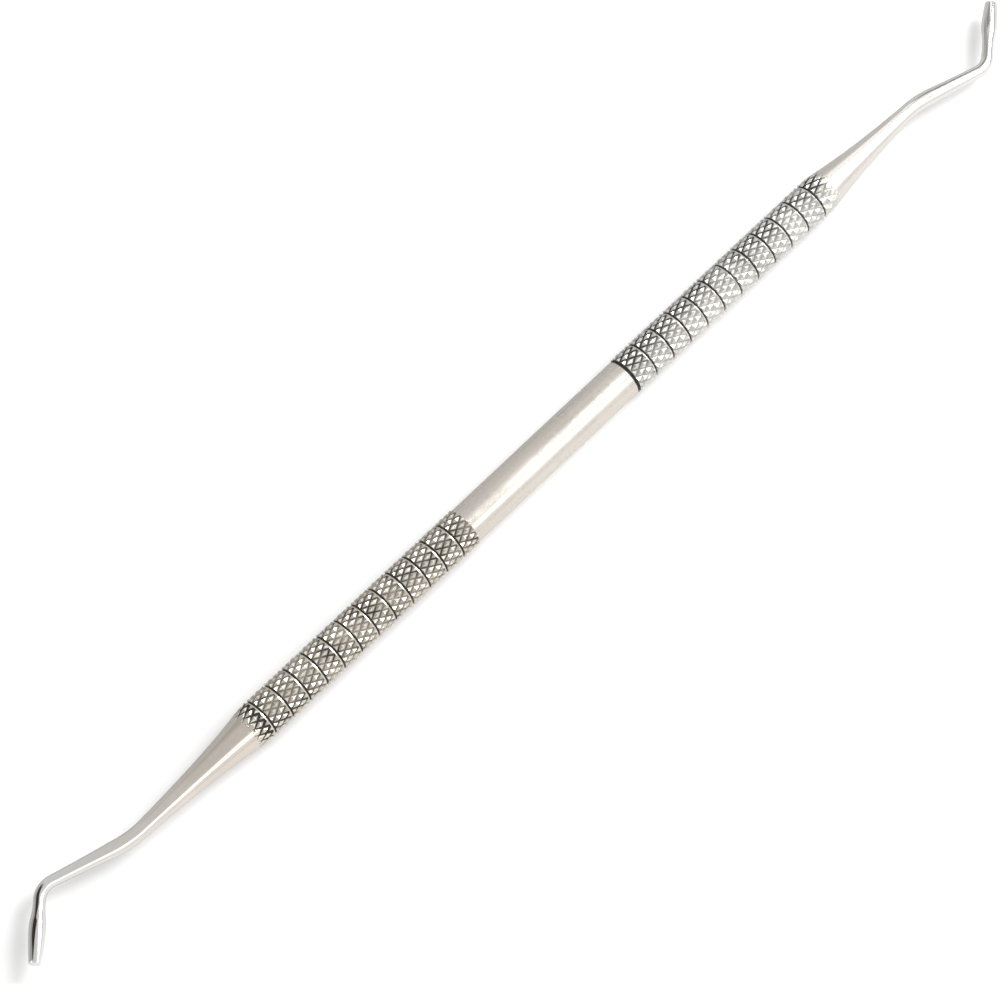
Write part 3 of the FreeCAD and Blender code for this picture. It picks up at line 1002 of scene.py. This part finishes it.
@dataclass
class Studio:
    """The pale table, the soft lamps and the camera."""

    aim: tuple[float, float, float] = (-5.95, 0.18, 2.75)
    forward: tuple[float, float, float] = (0.28128, 0.27577, -0.91914)
    distance: float = 550.0
    focal_pixels: float = 4438.5
    sensor: float = 36.0
    floor_half: float = 1.2
    floor_glow: float = 0.10
    mirrored_glow: float = 0.60
    mirrored_front: float = 0.80
    # Weaker glow of the table's back half for mirror rays: painted shade of the instrument's shadow
    # there.
    mirrored_back_shade: float = 0.12
    mirrored_blend: float = 0.006
    glow_strength: float = 1.10
    world_level: float = 0.62
    table_shade: tuple[float, ...] = (0.930, 0.930, 0.925, 1.0)
    table_light: tuple[float, ...] = (0.945, 0.945, 0.940, 1.0)
    glow_colour: tuple[float, ...] = (1.0, 0.985, 0.99, 1.0)
    dull_corner: tuple[float, float, float] = (-0.45, 0.80, 0.40)
    dull_edge: tuple[float, float] = (0.78, 0.97)
    dull_level: float = 0.36
    cards: tuple[Card, ...] = (
        Card("dark_card", (-0.088, 0.015, 0.021), (-0.086, -0.001, 0.003), 0.0095,
             (0.030, 0.018, 0.016), (0.050, 0.032, 0.030)),
        Card("grey_card", (0.0910, 0.0180, 0.0225), (0.086, 0.001, 0.003), 0.0075,
             (0.20, 0.20, 0.19), (0.26, 0.26, 0.25)),
    )
    lamps: tuple[Softbox, ...] = (
        Softbox("key_softbox", -90.0, 40.0, 0.45, 0.80, 0.20, 1.05, shift=(0.15, 0.0)),
        Softbox("front_softbox", -90.0, 14.0, 0.55, 0.90, 0.22, 0.26, shift=(0.15, 0.0)),
        Softbox("top_softbox", -90.0, 90.0, 0.50, 0.50, 0.47, 0.22, shift=(0.38, -0.15)),
        Softbox("back_softbox", -90.0, 90.0, 0.50, 0.34, 0.42, 0.65, shift=(0.47, 0.41)),
        Softbox("end_softbox", -13.0, 46.0, 0.60, 0.30, 0.30, 10.0),
        Softbox("low_softbox", 162.0, 26.0, 0.70, 0.50, 0.35, 1.6),
    )

    def camera(self) -> bpy.types.Object:
        """The photograph's viewpoint.

        Returns:
            The camera, set as the scene's own.
        """
        data = bpy.data.cameras.new("photo_camera")
        data.sensor_fit, data.sensor_width = "HORIZONTAL", self.sensor
        data.lens = self.focal_pixels / PHOTO_WIDTH * self.sensor
        data.clip_start, data.clip_end = 0.01, 10.0
        camera = bpy.data.objects.new("photo_camera", data)
        direction = Vector(self.forward).normalized()
        camera.location = (Vector(self.aim) - direction * self.distance) * MM
        camera.rotation_euler = direction.to_track_quat("-Z", "Y").to_euler()
        bpy.context.scene.collection.objects.link(camera)
        bpy.context.scene.camera = camera
        return camera

    def glow_share(self, nodes: NodeTree) -> bpy.types.NodeSocket:
        """Share of glow in the table for camera, mirror and glass rays, and 0 for light itself."""
        path = nodes.add("ShaderNodeLightPath")
        camera = nodes.math("MULTIPLY", path.outputs["Is Camera Ray"], self.floor_glow)
        indirect = nodes.math("MAXIMUM", path.outputs["Is Glossy Ray"],
                              path.outputs["Is Transmission Ray"])
        return nodes.math("MAXIMUM", camera, nodes.math("MULTIPLY", indirect, self.mirrored_glow))

    def floor(self) -> bpy.types.Object:
        """The pale table that the instrument lies on.

        Returns:
            The floor.
        """
        mesh = square_mesh("pale_table", self.floor_half)
        floor = bpy.data.objects.new("pale_table", mesh)
        bpy.context.scene.collection.objects.link(floor)
        material = bpy.data.materials.new("pale_table")
        material.use_nodes = True
        nodes = NodeTree(material.node_tree)
        output = nodes.add("ShaderNodeOutputMaterial")
        matte = nodes.add("ShaderNodeBsdfPrincipled")
        matte.inputs["Roughness"].default_value = 0.9
        matte.inputs["Specular IOR Level"].default_value = 0.1
        place = nodes.add("ShaderNodeTexCoord").outputs["Object"]
        mottle = nodes.spread(nodes.noise(place, 14.0, 2.0), 0.3, 0.7, 0.0, 1.0)
        nodes.link(nodes.tint(mottle, self.table_shade, self.table_light),
                   matte.inputs["Base Color"])
        glow = nodes.add("ShaderNodeEmission")
        glow.inputs["Color"].default_value = self.glow_colour
        across = nodes.add("ShaderNodeSeparateXYZ")
        nodes.link(place, across.inputs[0])
        # For mirror and glass rays the table's back (+Y) half glows less: painted shade, standing for
        # the instrument's shadow as the steel sees it.
        mirrored = nodes.spread(across.outputs["Y"], -self.mirrored_blend, self.mirrored_blend,
                                self.mirrored_front, self.mirrored_back_shade, smooth=True)
        direct = nodes.add("ShaderNodeLightPath").outputs["Is Camera Ray"]
        nodes.link(nodes.spread(direct, 0.0, 1.0, mirrored, self.glow_strength),
                   glow.inputs["Strength"])
        mix = nodes.add("ShaderNodeMixShader")
        nodes.link(self.glow_share(nodes), mix.inputs[0])
        nodes.link(matte.outputs["BSDF"], mix.inputs[1])
        nodes.link(glow.outputs["Emission"], mix.inputs[2])
        nodes.link(mix.outputs["Shader"], output.inputs["Surface"])
        mesh.materials.append(material)
        return floor

    def world(self) -> None:
        """Even soft light all round, white where the camera sees it."""
        world = bpy.data.worlds.new("soft_room")
        bpy.context.scene.world = world
        world.use_nodes = True
        nodes = NodeTree(world.node_tree)
        output = nodes.add("ShaderNodeOutputWorld")
        background = nodes.add("ShaderNodeBackground")
        path = nodes.add("ShaderNodeLightPath")
        heading = nodes.add("ShaderNodeVectorMath", operation="DOT_PRODUCT")
        nodes.link(nodes.add("ShaderNodeTexCoord").outputs["Generated"], heading.inputs[0])
        heading.inputs[1].default_value = self.dull_corner
        room = nodes.spread(heading.outputs["Value"], *self.dull_edge, self.world_level,
                            self.dull_level, smooth=True)
        level = nodes.spread(path.outputs["Is Camera Ray"], 0.0, 1.0, room, 1.0)
        nodes.link(level, background.inputs["Strength"])
        background.inputs["Color"].default_value = (1.0, 1.0, 1.0, 1.0)
        nodes.link(background.outputs["Background"], output.inputs["Surface"])

    def build(self) -> None:
        """Set the table, the lamps, the room and the camera."""
        self.camera()
        self.floor()
        for card in self.cards:
            card.make()
        self.world()
        for lamp in self.lamps:
            lamp.make(Vector(self.aim) * MM)
        bpy.context.scene.view_settings.view_transform = "Standard"


def make_chains() -> dict[Side, Chain]:
    """Both ends with their own sizes.

    Returns:
        The chain of each side.
    """
    left = Chain(Side.LEFT, barrel_end=12.38, lead_groove=0.0, bands=12, pitch=2.95,
                 end_band=2.70, bend_place=69.5, bend_angle=16.7, bend_diameter=2.06,
                 shank_length=11.97, elbow_diameter=1.54, elbow_angle=59.3, tip_length=9.63,
                 waist=(2.8, 1.42), shoulder=(5.3, 2.40), face_diameter=1.50,
                 grip_zone=Zone.GRIP_LEFT, shank_zone=Zone.SHANK_LEFT,
                 band_grime=(1.1,), last_grime=3.0, front_fade=0.0)
    right = Chain(Side.RIGHT, barrel_end=16.01, lead_groove=0.46, bands=11, pitch=3.105,
                  end_band=3.20, bend_place=70.3, bend_angle=15.7, bend_diameter=2.12,
                  shank_length=10.83, elbow_diameter=1.62, elbow_angle=54.5, tip_length=9.45,
                  waist=(3.8, 1.42), shoulder=(6.2, 2.38), face_diameter=1.58,
                  grip_zone=Zone.GRIP_RIGHT, shank_zone=Zone.SHANK_RIGHT,
                  band_grime=(1.9, 1.35), last_grime=2.8, front_fade=0.60)
    return {Side.LEFT: left, Side.RIGHT: right}


def main() -> None:
    """Build the instrument and its studio, and report each piece."""
    logging.basicConfig(level=logging.INFO, format="%(name)s: %(message)s")
    Studio().build()
    chains = make_chains()
    knurl = Knurl()
    plugger = Plugger(chains, Barrel(chains[Side.LEFT].barrel_end, chains[Side.RIGHT].barrel_end),
                      axis_height=knurl.peak * math.cos(math.pi / COLUMNS))
    effects = Effects()
    steel = plugger.build()
    plugger.dress(steel, effects)
    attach(steel, "root")
    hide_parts(NODE)
    triangles = sum(len(face.vertices) - 2 for face in steel.data.polygons)
    log.info("%s: %d triangles, %d finishes", steel.name, triangles, len(steel.data.materials))


if __name__ == "__main__":
    main()
